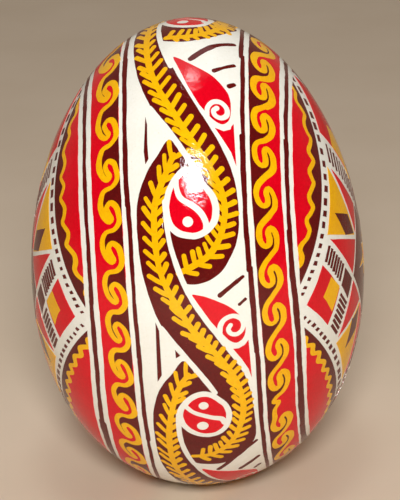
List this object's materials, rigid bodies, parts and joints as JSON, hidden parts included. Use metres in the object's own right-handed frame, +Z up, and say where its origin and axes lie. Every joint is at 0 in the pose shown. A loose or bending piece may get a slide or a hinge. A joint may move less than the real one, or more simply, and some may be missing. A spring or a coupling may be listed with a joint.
{
  "type": "decorated egg",
  "caption": "Blown goose egg decorated by wax-resist dyeing, with its shell, two linings and the wax plug that closes its blow hole.",
  "frame": {"origin": "lowest point of the blunt end, on the egg's long axis", "axes": "+Z up the egg's long axis towards its narrower end, -Y towards the front of the painted band"},
  "size_m": [0.0594, 0.0594, 0.086],
  "materials": {
    "dyed_shell": "calcite shell dyed white, yellow, red and dark brown under a glossy varnish",
    "shell_membrane": "dry, papery, slightly translucent skin",
    "beeswax": "smoothed beeswax, soft sheen"
  },
  "bodies": {
    "root": {"eggshell": "dyed_shell", "outer_membrane": "shell_membrane", "inner_membrane": "shell_membrane", "hole_plug": "beeswax"}
  },
  "joints": []
}
